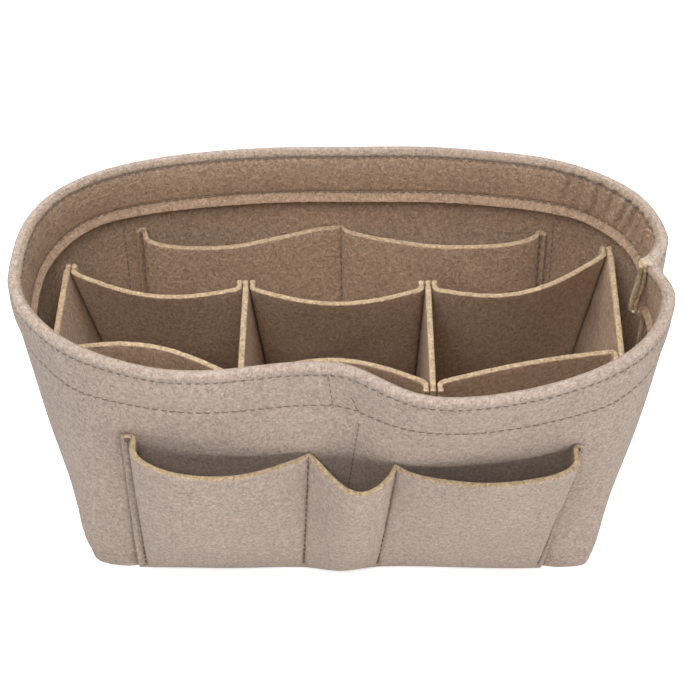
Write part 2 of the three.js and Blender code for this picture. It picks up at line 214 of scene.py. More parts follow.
def pucker(along, pitch, share):
    """Depth of a stitched groove along its row: that share of it comes and goes with the stitches."""
    return 1 - share + share * np.cos(math.tau * along / pitch)


def bell(x, middle, out, left, right):
    return out * np.exp(-0.5 * ((x - middle) / np.where(x < middle, left, right)) ** 2)


def unit(vectors):
    return vectors / np.linalg.norm(vectors, axis=-1, keepdims=True)


def ripple(p, seed, size, count=5):
    """Smooth seeded noise between about -1 and 1 over points, with that feature size."""
    rng = np.random.default_rng(seed)
    p = np.asarray(p, float)
    total = 0
    for _ in range(count):
        way = rng.normal(size=p.shape[-1])
        way *= rng.uniform(0.6, 1.5) * math.tau / (size * np.linalg.norm(way))
        total = total + np.sin(p @ way + rng.uniform(0, math.tau))
    return total / count


def fray(along, seed):
    """Small irregularity of a cut edge, in millimetres, along its length."""
    along = np.asarray(along, float)[..., None]
    return 0.14 * ripple(along, seed, 7) + 0.1 * ripple(along, seed + 1, 2.6)


def graded(length, marks, coarse, fine, reach):
    """Positions from 0 to length, close together near the marks."""
    spots = np.linspace(0, length, 8001)
    spacing = np.full(spots.shape, float(coarse))
    for mark in marks:
        near = smoothstep(np.abs(spots - mark), reach, 2 * reach)
        spacing = np.minimum(spacing, fine + (coarse - fine) * near)
    steps = np.concatenate([[0], np.cumsum(0.5 * (1 / spacing[1:] + 1 / spacing[:-1]) * np.diff(spots))])
    return np.interp(np.linspace(0, steps[-1], int(math.ceil(steps[-1])) + 1), steps, spots)


def running_length(path):
    return np.concatenate([[0], np.cumsum(np.linalg.norm(np.diff(path, axis=0), axis=1))])


def points_at(path, along, spots):
    """Points of a path at spots along its running length."""
    return np.stack([np.interp(spots, along, line) for line in path.T], -1)


def squircle(angle, length, depth, squareness):
    c, s = np.cos(angle), np.sin(angle)
    reach = (np.abs(c) ** squareness + np.abs(s) ** squareness) ** (-1 / squareness)
    return length / 2 * reach * c, depth / 2 * reach * s


def wall_plan(angle, z):
    """Plan point of the wall's outer face, at angles round the oval and heights."""
    rise = np.clip(z / HEIGHT, 0, 1)
    front = np.sin(angle) < 0
    left = np.cos(angle) < 0
    foot_x, foot_y = squircle(
        angle, BASE_LENGTH - 2 * np.where(left, *BASE_DRAWS),
        np.where(front, BASE_FRONT_DEPTH, BASE_DEPTH), np.where(left, *BASE_SQUARENESS))
    squareness = np.where(front, np.where(left, *RIM_FRONT_SQUARENESS), RIM_BACK_SQUARENESS)
    rim_x, rim_y = squircle(angle, RIM_LENGTH, np.where(front, RIM_FRONT_DEPTH, RIM_DEPTH), squareness)
    sway = bell(rim_x, *SWELL) + bell(rim_x, *DENT)
    sway = np.where(front, sway * smoothstep(-rim_y / (RIM_FRONT_DEPTH / 2), 0, SWAY_EASE), 0)
    over = (z - SWAY_FOOT) / (HEIGHT - SWAY_FOOT)
    eased = np.where(over < -SWAY_SOFT, 0, (over + SWAY_SOFT) ** 2 / (4 * SWAY_SOFT))
    over = np.where(over > SWAY_SOFT, over, eased)
    x = foot_x + (rim_x - foot_x) * rise
    foot_y = foot_y - FOOT_RIGHT_OUT * front * smoothstep(foot_x, *FOOT_RIGHT_SPAN)
    swell = sum(out * bump(foot_x - place, reach) for place, out, reach in FOOT_SWELLS)
    press = FOOT_PRESS * window(foot_x, *FOOT_PRESS_SPAN)
    swell = swell * smoothstep(rise, FOOT_SWELL_END, 0) - press * smoothstep(rise, FOOT_PRESS_END, 0)
    swell = np.where(front, swell, 0)
    x = x - np.where(left, *FOOT_TUCKS) * foot_x / (BASE_LENGTH / 2) * smoothstep(rise, FOOT_TUCK_END, 0)
    y = foot_y + (rim_y - foot_y) * rise - sway * over - swell
    belly = np.abs(np.cos(angle)) ** np.where(left, *BELLY_FOCUS) * np.sin(math.pi * rise ** BELLY_RISE)
    x = x + np.where(left, *END_BELLIES) * belly
    pinch = bell(y, RIM_DEPTH / 2 * SEAM_ANGLE, PINCH_DEPTH, *PINCH_REACHES)
    return np.where(x > 0, x - pinch * rise ** PINCH_FADE, x), y


def wall_frame(angle, z):
    """Plan point of the wall's outer face and its outward normal."""
    step = 2e-4
    x, y = wall_plan(angle, z)
    x0, y0 = wall_plan(angle - step, z)
    x1, y1 = wall_plan(angle + step, z)
    length = np.hypot(x1 - x0, y1 - y0)
    return x, y, (y1 - y0) / length, (x0 - x1) / length


def angle_at(side, x, z):
    """The angle at which the wall's front or back has the given x at the given height."""
    x, z = np.broadcast_arrays(np.asarray(x, float), np.asarray(z, float))
    low = np.full(x.shape, -math.pi + 1e-6 if side == "front" else 1e-6)
    high = low + math.pi - 2e-6
    rising = 1 if side == "front" else -1
    for _ in range(40):
        middle = (low + high) / 2
        short = (wall_plan(middle, z)[0] - x) * rising < 0
        low, high = np.where(short, middle, low), np.where(short, high, middle)
    return (low + high) / 2


# The wall's columns run clockwise from the seam. Arc lengths are taken a little below the rim.
ARC_LEVEL = 0.85 * HEIGHT
ARC_ANGLES = SEAM_ANGLE - np.linspace(0, math.tau, 12001)
ARC_X, ARC_Y = wall_plan(ARC_ANGLES, ARC_LEVEL)
ARC = np.concatenate([[0], np.cumsum(np.hypot(np.diff(ARC_X), np.diff(ARC_Y)))])
RING = ARC[-1]
CREASES = (  # soft creases of the hem at the left end: arc, depth, half width, slant
    (RING / 2 - 22, 0.5, 3.0, 0.5), (RING / 2 + 9, 0.45, 2.6, -0.5), (RING / 2 + 34, 0.4, 2.6, -0.6))


def arc_of(angle):
    turned = np.mod(SEAM_ANGLE - angle, math.tau)
    return np.interp(turned, SEAM_ANGLE - ARC_ANGLES, ARC)


def angle_of(arc):
    return np.interp(arc, ARC, ARC_ANGLES)


def tilted(level, angle):
    """Height of a level of the wall: the rows and the hem's foot lie a little higher at the back."""
    rise = np.interp(level, *zip(*ROW_TILT))
    return level + rise * wall_plan(angle, HEIGHT)[1] / (RIM_DEPTH / 2)


def wall_relief(arc, angle, level, face):
    """How far in from its plain offset the wall's surface lies. face: 0 outer, 1 hem, 2 inner."""
    x, y = wall_plan(angle, level)
    outer, hem, hemmed = face == 0, face == 1, face < 2
    front = outer & (y < 0)
    inwards = np.where(outer, 1.0, -1.0)  # a groove's direction
    place = np.stack([x, y, level + 0 * x], -1)
    relief = WAVES * ripple(place, 3, WAVE_SIZE) * smoothstep(level, *WAVE_SPAN)
    stitched = (
        (TOP_ROW, TOP_GROOVE, outer), (TOP_ROW, TOP_GROOVE_INSIDE, hem), (LOW_ROW, LOW_GROOVE, hemmed),
        (BASE_ROW, BASE_GROOVE, outer))
    dip = sum(here * groove(level - row, shape) for row, shape, here in stitched)
    dip = dip * pucker(arc, PITCH, WALL_PUCKER)
    puff = np.clip((level - LOW_ROW) / (TOP_ROW - LOW_ROW), 0, 1)
    dip = dip - hemmed * HEM_PUFF * np.sin(math.pi * puff)
    dip = dip - hemmed * RIM_ROLL * smoothstep(level - TOP_ROW, 0, RIM_ROLL_RISE)
    for _, row, lean, low, high in HEM_TACKS:
        along = window(level, low - TACK_FADE, low, high, high + TACK_FADE)
        dip = dip + front * along * groove(x - row - lean * level, TACK_GROOVE)
    design = POCKETS["front_outer_pocket"]
    foot = design["foot"]
    for k, out in ((0, -1), (-1, 1)):
        top = design["tops"][k]
        edge = design["rows"][k] + design["leans"][k] * level + out * (design["flanges"][k] + FLANGE_CLEAR)
        along = window(level, foot - 2, foot + 2, top - 3, top + 1)
        dip = dip + front * along * groove(x - edge, FLANGE_GROOVE)
    relief = relief + inwards * dip + hem * LIP_FLARE * smoothstep(level, LOW_ROW - 0.5, HEM_FOOT)
    # Puckers of the hem beside the end seam and soft creases at the left end
    behind = RING - arc
    band = window(level, LOW_ROW - 1, LOW_ROW + 6, TOP_ROW - 1, HEIGHT)
    for spot, depth, width, slant in WRINKLES:
        away = behind - spot - slant * (level - LOW_ROW)
        fold = bump(away, width) - WRINKLE_BULGE * bump(away - 2.2 * width, 1.3 * width)
        relief = relief - depth * fold * band * np.where(hem, 1, WRINKLE_THROUGH)
    for spot, depth, width, slant in CREASES:
        relief = relief - depth * bump(arc - spot - slant * (level - LOW_ROW), width) * band
    for x0, z0, slope, depth, width, reach in LOW_CREASES:
        line = bump(level - z0 - slope * (x - x0), width) * bump(x - x0, reach)
        relief = relief + depth * line * front
    seam = np.minimum(arc, behind)
    return relief + inwards * (groove(seam, SEAM_GROOVE) + groove(seam - SEAM_SHOULDER_PLACE, SEAM_SHOULDER))


def from_wall(wall, depth, z, ahead=0.0):
    """Points at a depth inside the wall's outer face, at a height and a way ahead along the wall."""
    x, y, nx, ny = wall
    return np.stack([x - nx * depth + ny * ahead, y - ny * depth - nx * ahead, z + 0 * (x + depth)], -1)


def wall_place(arc, level, offset, face):
    """Points of the wall's real surface, from arc, level, plain inward offset and face."""
    arc, level, offset, face = np.broadcast_arrays(arc, level, offset, face)
    angle = angle_of(arc)
    z = tilted(level, angle)
    return from_wall(wall_frame(angle, z), offset + wall_relief(arc, angle, level, face), z)


# Meshes


def link_object(name, data):
    made = bpy.data.objects.new(name, data)
    bpy.context.scene.collection.objects.link(made)
    return made


def make_object(name, points, faces, materials, face_slots=None):
    """A smooth mesh object from points in millimetres and arrays of faces."""
    mesh = bpy.data.meshes.new(name)
    corners = [face for group in faces for face in group.tolist()]
    mesh.from_pydata((np.asarray(points, np.float32) * MM).tolist(), [], corners, shade_flat=False)
    for material in materials:
        mesh.materials.append(material)
    if face_slots is not None:
        mesh.polygons.foreach_set("material_index", np.asarray(face_slots, np.int32))
    mesh.validate()
    return link_object(name, mesh)


def grid_quads(ids):
    """The quads of a grid of point numbers."""
    return np.stack([ids[:-1, :-1], ids[1:, :-1], ids[1:, 1:], ids[:-1, 1:]], -1).reshape(-1, 4)


def outwards(points, quads):
    """The quads, turned round if they enclose a negative volume."""
    a, b, c, d = (points[quads[:, k]] for k in range(4))
    volume = np.einsum("ij,ij->i", a, np.cross(b, c) + np.cross(c, d)).sum()
    return quads[:, ::-1] if volume < 0 else quads


def level_normals(middle):
    """Level unit normals of a sheet, from its grid of middle points."""
    along = np.gradient(middle, axis=0)
    return unit(np.stack([along[..., 1], -along[..., 0], 0 * along[..., 0]], -1))


def from_ends(spots):
    return np.minimum(spots - spots[0], spots[-1] - spots)


def edge_taper(spots):
    """Share of the felt's half thickness that is left at spots from one raw edge to the other."""
    inner = 1 - np.clip(from_ends(spots) / EDGE_ROUND, 0, 1)
    return (1 - inner ** EDGE_SHAPE) ** (1 / EDGE_SHAPE)


def edge_curve(turn):
    """A raw edge's round section: across, from 1 to -1, and out, from 0 to 1 and back."""
    power = 2 / EDGE_SHAPE
    return np.sign(np.cos(turn)) * np.abs(np.cos(turn)) ** power, np.sin(turn) ** power


def bordered(length, coarse, marks=(), fine=0.5, reach=2.0):
    """Positions along a panel with the close steps that round off both of its raw edges."""
    inside = graded(length - 2 * EDGE_ROUND, [m - EDGE_ROUND for m in marks], coarse, fine, reach)
    inside = inside[1:-1] + EDGE_ROUND
    return np.concatenate([EDGE_STEPS, inside, length - EDGE_STEPS[::-1]])


def felt_shell(name, middle, normal, spots, up, front_groove, back_groove, looks, half=FELT / 2):
    """A closed felt sheet round a grid of middle points, with rounded raw edges on its four sides.
    spots and up are the places of the columns and the levels. looks are the materials of the front and
    the back."""
    columns, levels = middle.shape[:2]
    taper = np.minimum(edge_taper(spots)[:, None], edge_taper(up))[..., None]
    front = middle + normal * (half - front_groove)[..., None] * taper
    back = middle - normal * (half - back_groove)[..., None] * taper
    ids = np.arange(columns * levels).reshape(columns, levels)
    inner = np.zeros((columns, levels), bool)
    inner[1:-1, 1:-1] = True
    back_ids = ids.copy()
    back_ids[inner] = columns * levels + np.arange(inner.sum())
    points = np.concatenate([front.reshape(-1, 3), back[inner]])
    quads = outwards(points, np.concatenate([grid_quads(ids), grid_quads(back_ids)[:, ::-1]]))
    column = np.arange(columns - 1)[:, None]
    level = np.arange(levels - 1)
    from_edge = np.minimum(np.minimum(column, columns - 2 - column), np.minimum(level, levels - 2 - level))
    cut = (from_edge < EDGE_FACES).ravel()
    slots = np.concatenate([np.where(cut, 2, 0), np.where(cut, 2, 1)])
    return make_object(name, points, [quads], [*looks, EDGE_LOOK], slots), front, back


def finish_felt(made, node, body):
    """Puts a felt piece under its body and hides the solid that it stands for."""
    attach(made, body)
    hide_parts(node)


# Materials


def bare_tree(owner):
    """The emptied node tree of a material or a world."""
    owner.use_nodes = True
    owner.node_tree.nodes.clear()
    return owner.node_tree


def add_node(tree, kind, inputs, output=0, **settings):
    """An output of a new node, if it has any. An input is a plain value or another node's output."""
    made = tree.nodes.new(f"ShaderNode{kind}")
    for name, value in settings.items():
        setattr(made, name, value)
    for socket, value in inputs.items():
        if isinstance(value, bpy.types.NodeSocket):
            tree.links.new(value, made.inputs[socket])
        else:
            made.inputs[socket].default_value = value
    return made.outputs[output] if made.outputs else None


def object_coords(tree):
    return add_node(tree, "TexCoord", {}, "Object")


def noise(tree, coords, scale, detail, roughness=0.6, distortion=0.0):
    return add_node(tree, "TexNoise", {
        "Vector": coords, "Scale": scale, "Detail": detail, "Roughness": roughness,
        "Distortion": distortion}, "Fac")


def remap(tree, value, low, high, out_low, out_high):
    return add_node(tree, "MapRange", {
        "Value": value, "From Min": low, "From Max": high, "To Min": out_low, "To Max": out_high,
        }, "Result")


def maths(tree, operation, first, second):
    return add_node(tree, "Math", {0: first, 1: second}, operation=operation)


def mix_colour(tree, factor, first, second, blend="MIX"):
    inputs = {0: factor, 6: first, 7: second}
    return add_node(tree, "Mix", inputs, 2, data_type="RGBA", blend_type=blend)


def finish_surface(tree, inputs, layers):
    """The shader with its output. layers are bumps on each other: height and distance in metres."""
    normal = {}
    for height, distance in layers:
        relief = {"Strength": 1.0, "Distance": distance, "Height": height}
        normal = {"Normal": add_node(tree, "Bump", {**relief, **normal})}
    shader = add_node(tree, "BsdfPrincipled", {**inputs, **normal})
    add_node(tree, "OutputMaterial", {"Surface": shader})


def felt_look(name, dark, light, sheen, mottle=0.27, fleck=0.12, fine_scale=1500, coarse_scale=680):
    """Needle felt: a pebbly mottle, fine fibres in two directions and slow changes of shade."""
    material = bpy.data.materials.new(name)
    tree = bare_tree(material)
    stretch = {"Vector": object_coords(tree), "Scale": (1.0, 0.74, 0.74)}
    coords = add_node(tree, "Mapping", stretch)
    pebble = noise(tree, coords, coarse_scale, 4, 0.62, 0.4)
    grain = noise(tree, coords, fine_scale, 3, 0.7, 1.2)
    drift = noise(tree, coords, 26, 2)
    fibres = []
    for turn in ((0.5, 0.9, 0.3), (-0.7, 0.4, 1.3)):
        drawn = {"Vector": coords, "Rotation": turn, "Scale": (0.4, 1.0, 1.0)}
        turned = add_node(tree, "Mapping", drawn)
        fibres.append(noise(tree, turned, 1500, 2, 0.5, 0.9))
    fibre = maths(tree, "MAXIMUM", *fibres)
    colour = mix_colour(tree, remap(tree, pebble, 0.3, 0.7, 0, 1), (*dark, 1.0), (*light, 1.0))
    shades = ((grain, 0.3, 0.7, mottle), (fibre, 0.45, 0.75, fleck), (drift, 0.3, 0.7, 0.05))
    for value, low, high, change in shades:
        shade = remap(tree, value, low, high, 1 - change, 1 + change)
        grey = add_node(tree, "CombineColor", {0: shade, 1: shade, 2: shade})
        colour = mix_colour(tree, 1.0, colour, grey, "MULTIPLY")
    finish_surface(tree, {
        "Base Color": colour, "Roughness": remap(tree, pebble, 0.3, 0.7, 0.98, 0.86),
        "Specular IOR Level": 0.15, "Sheen Weight": sheen, "Sheen Roughness": 0.45,
        "Sheen Tint": (1.0, 0.93, 0.86, 1.0),
    }, ((pebble, 0.0011), (grain, 0.0005), (fibre, 0.0003)))
    return material


def thread_look(name, dark, light):
    """Spun thread: a twist of darker and lighter bands."""
    material = bpy.data.materials.new(name)
    tree = bare_tree(material)
    twist = {"Vector": object_coords(tree), "Scale": 620, "Distortion": 1.5}
    band = add_node(tree, "TexWave", twist, "Fac", bands_direction="DIAGONAL")
    colour = mix_colour(tree, band, (*dark, 1.0), (*light, 1.0))
    finish_surface(tree, {"Base Color": colour, "Roughness": 0.7, "Sheen Weight": 0.1}, ((band, 0.0001),))
    return material


CUT_FELT = dict(mottle=0.24, fleck=0.16, fine_scale=1700, coarse_scale=700)
FELT_LOOK = felt_look("beige_felt", (0.38, 0.293, 0.242), (0.64, 0.516, 0.438), 0.25)
# A darker copy of the beige felt: painted shade for the inner half of the rim's fold and the hem above its
# top row
RIM_FOLD_SHADE_LOOK = felt_look("beige_felt_rim_painted_shade", (0.322, 0.236, 0.176), (0.541, 0.413, 0.32), 0.2)
# A darker, warmer copy of the beige felt: painted shade for the faces inside the case, the pockets' backs,
# the dividers and the base
INSIDE_SHADE_LOOK = felt_look("beige_felt_inside_painted_shade", (0.395, 0.264, 0.177), (0.65, 0.458, 0.328), 0.1)
EDGE_LOOK = felt_look("cut_felt_edge", (0.40, 0.28, 0.16), (0.76, 0.585, 0.38), 0.2, **CUT_FELT)
FRAYED_LOOK = felt_look("frayed_felt", (0.55, 0.43, 0.33), (0.82, 0.69, 0.56), 0.3, **CUT_FELT)
THREAD_LOOK = thread_look("sewing_thread", (0.17, 0.12, 0.085), (0.31, 0.23, 0.17))
# The pocket seams' thread is real, but so dark and so close-set that it also paints the shade of the seam's
# groove
SEAM_THREAD_SHADE_LOOK = thread_look("seam_thread_and_painted_shade", (0.085, 0.05, 0.026), (0.19, 0.12, 0.068))
PALE_THREAD_LOOK = thread_look("pale_thread", (0.26, 0.195, 0.145), (0.41, 0.32, 0.25))
# The front outer pocket's seams take the dark thread that also paints their grooves' shade
ROW_LOOKS = {"thread_base": PALE_THREAD_LOOK, "thread_front_outer_pocket": SEAM_THREAD_SHADE_LOOK}


# Thread: small bent capsules, one mesh for each group of rows


def stitches(path, lift, pitch=PITCH, length=STITCH, radius=THREAD, inset=1.0):
    """Points and faces of a row of stitches along a path on a surface. lift is the surface normal."""
    along = running_length(path)
    count = max(1, int((along[-1] - 2 * inset + pitch - length) // pitch))
    first = (along[-1] - (count - 1) * pitch - length) / 2
    share = np.array([0.0, 0.12, 0.35, 0.65, 0.88, 1.0])
    spots = first + pitch * np.arange(count)[:, None] + length * share
    centre, normal = points_at(path, along, spots), unit(points_at(lift, along, spots))
    aside = np.cross(unit(np.gradient(centre, axis=1)), normal)
    bow = 2 * share - 1
    centre = centre + normal * (radius * (0.55 - 1.6 * bow ** 4))[:, None]
    thick = radius * np.sqrt(np.maximum(1 - bow ** 6, 0.03))
    turn = np.arange(6) * math.tau / 6
    ring = aside[:, :, None] * np.cos(turn)[:, None] + normal[:, :, None] * np.sin(turn)[:, None]
    points = centre[:, :, None] + ring * thick[:, None, None]
    ids = np.arange(points[..., 0].size).reshape(points.shape[:3])
    after = np.roll(ids, -1, axis=2)
    quads = np.stack([ids[:, :-1], after[:, :-1], after[:, 1:], ids[:, 1:]], -1).reshape(-1, 4)
    caps = np.concatenate([ids[:, 0, ::-1], ids[:, -1]])
    return points.reshape(-1, 3), quads, caps


def merged(parts):
    """The points, the quads and the caps of several parts, put together."""
    starts = np.cumsum([0] + [len(part[0]) for part in parts])
    faces = [np.concatenate([part[k] + start for part, start in zip(parts, starts)]) for k in (1, 2)]
    return np.concatenate([part[0] for part in parts]), faces


def thread_object(name, rows, body, look):
    made = make_object(name, *merged(rows), [look])
    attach(made, body)


# Outer wall


def levels_between(low, high, marks, coarse=2.6, fine=0.42):
    return low + graded(high - low, [m - low for m in marks], coarse, fine, 1.6)


def edge_loop(inner, outer, foot):
    """A raw lower edge, from the offset of one face to that of the other: offsets and levels."""
    across, out = edge_curve(np.linspace(0, math.pi, 13))
    return (inner + outer) / 2 + (inner - outer) / 2 * across, foot + EDGE_ROUND * (1 - out)


def section(parts):
    """Puts the parts of a section together. A part's values are arrays or one number for all of it."""
    return [np.concatenate(values) for values in zip(*(np.broadcast_arrays(*part) for part in parts))]


def build_wall():
    outer = levels_between(EDGE_ROUND, HEIGHT - FELT, [TOP_ROW, LOW_ROW, BASE_ROW])[1:]
    turn = np.linspace(0, math.pi, 15)[1:-1]
    hem = levels_between(HEM_FOOT + EDGE_ROUND, HEIGHT - FELT, [TOP_ROW, LOW_ROW, HEM_FOOT])[::-1]
    hem_edge = edge_loop(2 * FELT, FELT + HEM_GAP, HEM_FOOT)
    slit = np.linspace(HEM_FOOT + 1.2, LOW_ROW - 1.0, 5)
    inner = levels_between(EDGE_ROUND, LOW_ROW - 1.0, [HEM_FOOT])[::-1]
    foot = edge_loop(FELT, 0, 0)
    inner_half = turn > math.pi / 2
    # Looks 1 and 3 are darker copies of the felt, painted shade: 1 on the inner faces, 3 on the inner half of
    # the rim's fold and the hem above the top row
    offset, level, face, look = section([  # look: 0 outside, 1 inside, 2 raw, 3 between outside and inside
        (0, outer, 0, 0),
        (FELT - FELT * np.cos(turn), HEIGHT - FELT + FELT * np.sin(turn), inner_half * 1, inner_half * 3),
        (2 * FELT, hem, 1, np.where(hem > TOP_ROW, 3, 1)),
        (hem_edge[0][1:], hem_edge[1][1:], 1, 2),
        (FELT + HEM_GAP, slit, 1, 1),
        (FELT, inner, 2, 1),
        (foot[0][1:], foot[1][1:], 2, 2),
    ])
    close = [(row, TACK_LEVEL) for _, row, *_ in HEM_TACKS] + [(x, FLANGE_LEVEL) for x in FLANGE_COLUMNS]
    marks = [arc_of(angle_at("front", x, z)) for x, z in close]
    wrinkled = RING - 8.0 * np.arange(12)
    arc = graded(RING, [0, *wrinkled, *marks], 1.0, 0.45, 4.0)[:-1]
    points = wall_place(arc[:, None], level, offset, face)
    points[..., 2] += fray(arc, 11)[:, None] * (look == 2) * (level > HEM_FOOT - 1)
    columns, count = points.shape[:2]
    ids = np.arange(columns * count).reshape(columns, count)
    quads = grid_quads(np.pad(ids, ((0, 1), (0, 1)), mode="wrap"))
    flat = points.reshape(-1, 3)
    after = np.roll(look, -1)
    slots = np.tile(np.where((look == 2) & (after != 2), after, look), columns)
    looks = [FELT_LOOK, INSIDE_SHADE_LOOK, EDGE_LOOK, RIM_FOLD_SHADE_LOOK]
    return make_object("wall_felt", flat, [outwards(flat, quads)], looks, slots)


def wall_lift(arc, level, offset, face):
    """Points of the wall's surface and its normals there, facing away from the felt, for thread."""
    step = 0.4
    here = wall_place(arc, level, offset, face)
    along = wall_place(np.mod(arc + step, RING), level, offset, face) - here
    rise = wall_place(arc, level + step, offset, face) - here
    return here, unit(np.cross(rise, along)) * (1 if face == 0 else -1)


def ring_row(level, offset, face, start=3.0, **size):
    arc = np.linspace(start, RING - start, 2400)
    return stitches(*wall_lift(arc, level, offset, face), **size)


def upright_row(side, row, lean, low, high, offset, face):
    z = np.linspace(low, high, 120)
    arc = arc_of(angle_at(side, row + lean * z, z))
    return stitches(*wall_lift(arc, z, offset, face))


# Pockets


def flange_columns(row, top, width, out):
    """Across a flange, from its raw edge to just beside the pocket's row."""
    spots = np.append(EDGE_STEPS, np.linspace(1.2, width - 0.3, 8))
    drop = CORNER_DROP * (1 - spots / width) ** 2  # the upper corner is cut round
    return np.stack([row + out * width - out * spots, top - drop, 0 * spots])


def pocket_columns(design):
    """Across a pocket panel: wall x at the foot, the mouth's height and the belly."""
    rows, tops = design["rows"], design["tops"]
    left, right = design["flanges"]
    parts = [flange_columns(rows[0], tops[0], left, -1)]
    t = np.linspace(0, 1, 61)
    across = 0.65 * (0.5 - 0.5 * np.cos(math.pi * t)) + 0.35 * t
    for k, (first, last) in enumerate(design["curves"]):
        skewed = across ** (math.log(0.5) / math.log(design["lows"][k]))
        curve = np.maximum(np.sin(math.pi * skewed), 0) ** (first + (last - first) * across)
        x = rows[k] + (rows[k + 1] - rows[k]) * across
        top = tops[k] + (tops[k + 1] - tops[k]) * across - design["dips"][k] * curve
        part = np.stack([x, top, design["bellies"][k] * curve])
        parts.append(part if k == len(rows) - 2 else part[:, :-1])
    parts.append(flange_columns(rows[-1], tops[-1], right, 1)[:, ::-1])
    return np.concatenate(parts, axis=1)


def averaged(x, values, reach):
    """Values at the columns x, each averaged with its neighbours."""
    weight = np.exp(-0.5 * ((x[:, None] - x) / reach) ** 2) * np.gradient(x)
    return (weight / weight.sum(1, keepdims=True)) @ values


def build_pocket(name, design, seed):
    x, top, belly = pocket_columns(design)
    rows, foot = np.array(design["rows"]), design["foot"]
    lean = np.interp(x, rows, design["leans"])
    top = top + fray(x, seed)
    tall = (top - foot)[:, None]
    up = bordered(POCKET_GRID, 2.6)
    share = up / POCKET_GRID
    # The edge steps stay in millimetres at both ends of each column, the rest is stretched
    inner_share = (up - EDGE_ROUND) / (POCKET_GRID - 2 * EDGE_ROUND)
    z = foot + EDGE_ROUND + (tall - 2 * EDGE_ROUND) * inner_share
    z = np.where(up >= POCKET_GRID - EDGE_ROUND, top[:, None] - (POCKET_GRID - up), z)
    z = np.where(up <= EDGE_ROUND, foot + up, z)
    angle = angle_at(design["side"], x[:, None] + lean[:, None] * z, z)
    wx, wy, nx, ny = wall_frame(angle, z)
    nx, ny = averaged(x, nx, POCKET_NORMAL_REACH), averaged(x, ny, POCKET_NORMAL_REACH)
    nx, ny = nx / np.hypot(nx, ny), ny / np.hypot(nx, ny)
    fullness = np.sin(math.pi / 2 * share)
    # It is sewn on at its foot
    gap = SEWN_GAP * smoothstep(share, 0.0, 0.08) - POCKET_FOOT_PRESS * smoothstep(share, 0.06, 0.0)
    slack = ripple(np.stack(np.broadcast_arrays(x[:, None], z), -1), seed + 5, 34)
    away = gap + FELT / 2 + belly[:, None] * fullness * (1 + POCKET_SLACK * slack)
    sign = 1.0 if design["outside"] else -1.0
    depth = -away if design["outside"] else FELT + away
    middle = from_wall((wx, wy, nx, ny), depth, z)
    normal = level_normals(middle) * (sign if design["side"] == "front" else -sign)
    left, right = design["flanges"]
    sewn = rows + SEAM_SHIFT * np.r_[-left, np.zeros(len(rows) - 2), right]
    near = np.abs(x[:, None] - sewn).min(1)
    dip = groove(near, POCKET_GROOVE)[:, None] * pucker(z, SEAM_PITCH, POCKET_PUCKER)
    dip = dip * smoothstep(z, foot, foot + 3)
    # Faces inside the case take the felt copy with painted shade
    looks = (FELT_LOOK if design["outside"] else INSIDE_SHADE_LOOK, INSIDE_SHADE_LOOK)
    made, front, _ = felt_shell(name, middle, normal, x, up, dip, 0 * dip, looks)
    lift = np.stack([nx, ny, 0 * nx], -1) * sign
    threads = []
    for row in sewn:
        k = int(np.argmin(np.abs(x - row)))
        threads.append(stitches(front[k, WITHIN_EDGES], lift[k, WITHIN_EDGES],
                                SEAM_PITCH, SEAM_STITCH, SEAM_THREAD))
    for flange in (x < rows[0] - 0.2, x > rows[-1] + 0.2):
        threads += bar_tack(front, np.flatnonzero(flange & (from_ends(x) > EDGE_ROUND)), lift)
    return made, threads


def bar_tack(front, columns, lift):
    """Two close stitches across a flange, just below its top."""
    level = front.shape[1] - len(EDGE_STEPS)
    path = front[columns, level]
    length = np.linalg.norm(path[-1] - path[0]) - 0.4
    return [stitches(path - [0, 0, drop], lift[columns, level], 9.0, length, SEAM_THREAD, 0.1)
            for drop in (0.3, 1.2)]


# Divider box


def junctions(z, ends, front, back, shifts):
    """The front and the back end of the four cross panels in plan, from their spaces to the case."""
    share = z / HEIGHT
    half_length = (BASE_LENGTH + (RIM_LENGTH - BASE_LENGTH) * share) / 2 - FELT
    half_depth = (BASE_DEPTH + (RIM_DEPTH - BASE_DEPTH) * share) / 2 - FELT
    x = np.linspace(ends[0] - half_length, half_length - ends[1], 4)
    return [np.stack(np.broadcast_arrays(x, front - half_depth), -1),
            np.stack(np.broadcast_arrays(x + shifts, half_depth - back), -1)]


def rounded_path(corners, bend=1.1, step=0.25):
    """A fine plan path through corner points, with its corners rounded off."""
    corners = np.asarray(corners, float)
    along = running_length(corners)
    fine = points_at(corners, along, np.linspace(0, along[-1], int(along[-1] / step) + 1))
    reach = int(4 * bend / step)
    kernel = np.exp(-0.5 * (np.arange(-reach, reach + 1) * step / bend) ** 2)
    kernel /= kernel.sum()
    padded = np.concatenate([
        2 * fine[0] - fine[reach:0:-1], fine, 2 * fine[-1] - fine[-2:-reach - 2:-1]])
    return np.stack([np.convolve(padded[:, k], kernel, "valid") for k in range(2)], -1)


def row_path(start, end, outward, bow, splay):
    """A row panel's plan path. splay is how far its two tabs lean away from the cross panels."""
    aside = FELT + 0.1
    first, last = start + [aside, 0], end - [aside, 0]
    across = np.linspace(0, 1, 41)
    body = first + (last - first) * across[:, None]
    body[:, 1] -= outward * bow * np.sin(math.pi * across)
    tabs = [first + [splay[0], outward * DIVIDER_TAB], last + [-splay[1], outward * DIVIDER_TAB]]
    return rounded_path(np.concatenate([tabs[:1], body, tabs[1:]]), 1.5)


def cross_path(front, back, lean):
    """A cross panel's plan path. lean is how far its two tabs lean to the right."""
    return rounded_path([front + [lean[0], -DIVIDER_TAB], front, back, back + [lean[1], DIVIDER_TAB]])


def resample(path, share):
    along = running_length(path)
    return points_at(path, along, share * along[-1])


